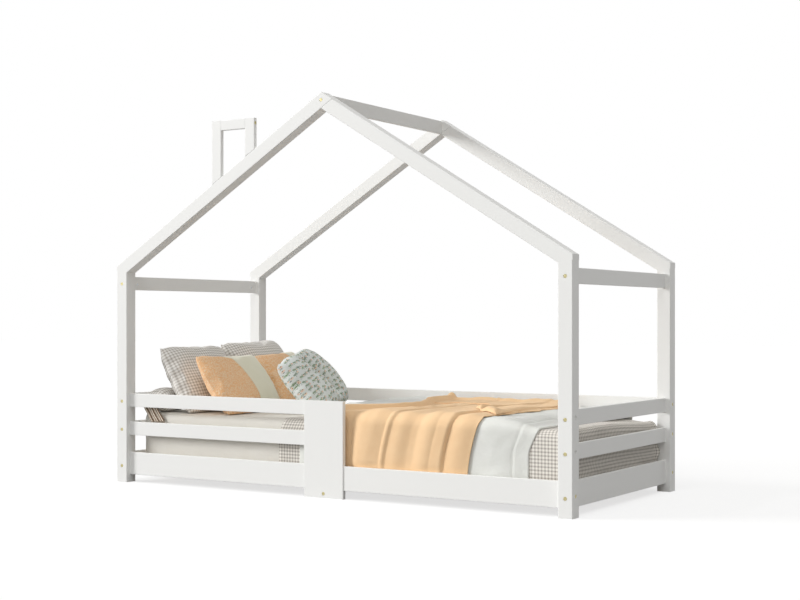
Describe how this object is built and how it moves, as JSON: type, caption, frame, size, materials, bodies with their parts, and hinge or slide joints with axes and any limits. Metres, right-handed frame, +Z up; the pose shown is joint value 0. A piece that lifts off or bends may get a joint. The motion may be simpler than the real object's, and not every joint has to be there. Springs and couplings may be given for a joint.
{
  "type": "house frame bed",
  "caption": "Low child's bed on four square posts under a gabled frame with a ridge board, rails on three sides, a short front fence, a chimney, slats, a mattress and bedding.",
  "frame": {"origin": "on the floor, under the middle of the bed", "axes": "+X to the right along the bed from head to foot, seen from the front with the fence; +Y to the back; +Z up"},
  "size_m": [2.08, 0.976, 1.5488],
  "materials": {
    "white_paint": "white satin paint on pine",
    "bare_pine": "planed, unpainted",
    "yellow_zinc": "yellow zinc plating",
    "zinc": "bright zinc plating",
    "sheet_cotton": "plain fitted sheet",
    "check_cotton": "white cotton with grey check",
    "duvet_cotton": "pale grey-green cotton",
    "peach_fleece": "soft peach fleece",
    "peach_and_sage_cotton": "peach pebble knit beside sage satin",
    "striped_cotton": "white cotton with brown stripes and a fringe",
    "floral_cotton": "pale cotton with small green sprigs"
  },
  "bodies": {
    "root": {"back_rail_mid": "white_paint", "back_rail_top": "white_paint", "barrel_nuts": "zinc", "check_blanket": "check_cotton", "chimney_bar": "white_paint", "chimney_upright_left": "white_paint", "chimney_upright_right": "white_paint", "dowels": "bare_pine", "duvet": "duvet_cotton", "eave_beam_left": "white_paint", "eave_beam_right": "white_paint", "end_board_left": "white_paint", "end_board_right": "white_paint", "end_rail_left_mid": "white_paint", "end_rail_left_top": "white_paint", "end_rail_right_mid": "white_paint", "end_rail_right_top": "white_paint", "fence_panel": "white_paint", "fence_rail_mid": "white_paint", "fence_rail_top": "white_paint", "frame_bolts": "yellow_zinc", "frame_dowels": "bare_pine", "mattress": "sheet_cotton", "panel_foot_block": "white_paint", "pillow_check_back": "check_cotton", "pillow_check_front": "check_cotton", "pillow_check_small": "check_cotton", "pillow_colour_back": "peach_and_sage_cotton", "pillow_colour_front": "peach_and_sage_cotton", "pillow_floral": "floral_cotton", "post_back_left": "white_paint", "post_back_right": "white_paint", "post_front_left": "white_paint", "post_front_right": "white_paint", "rafter_back_left": "white_paint", "rafter_back_right": "white_paint", "rafter_front_left": "white_paint", "rafter_front_right": "white_paint", "ridge_board": "white_paint", "screws": "zinc", "short_bolts": "yellow_zinc", "side_board_back": "white_paint", "side_board_front": "white_paint", "slat_01": "bare_pine", "slat_02": "bare_pine", "slat_03": "bare_pine", "slat_04": "bare_pine", "slat_05": "bare_pine", "slat_06": "bare_pine", "slat_07": "bare_pine", "slat_08": "bare_pine", "slat_09": "bare_pine", "slat_10": "bare_pine", "slat_11": "bare_pine", "slat_12": "bare_pine", "slat_ledger_back": "white_paint", "slat_ledger_front": "white_paint", "striped_cloth": "striped_cotton", "throw": "peach_fleece"}
  },
  "joints": []
}
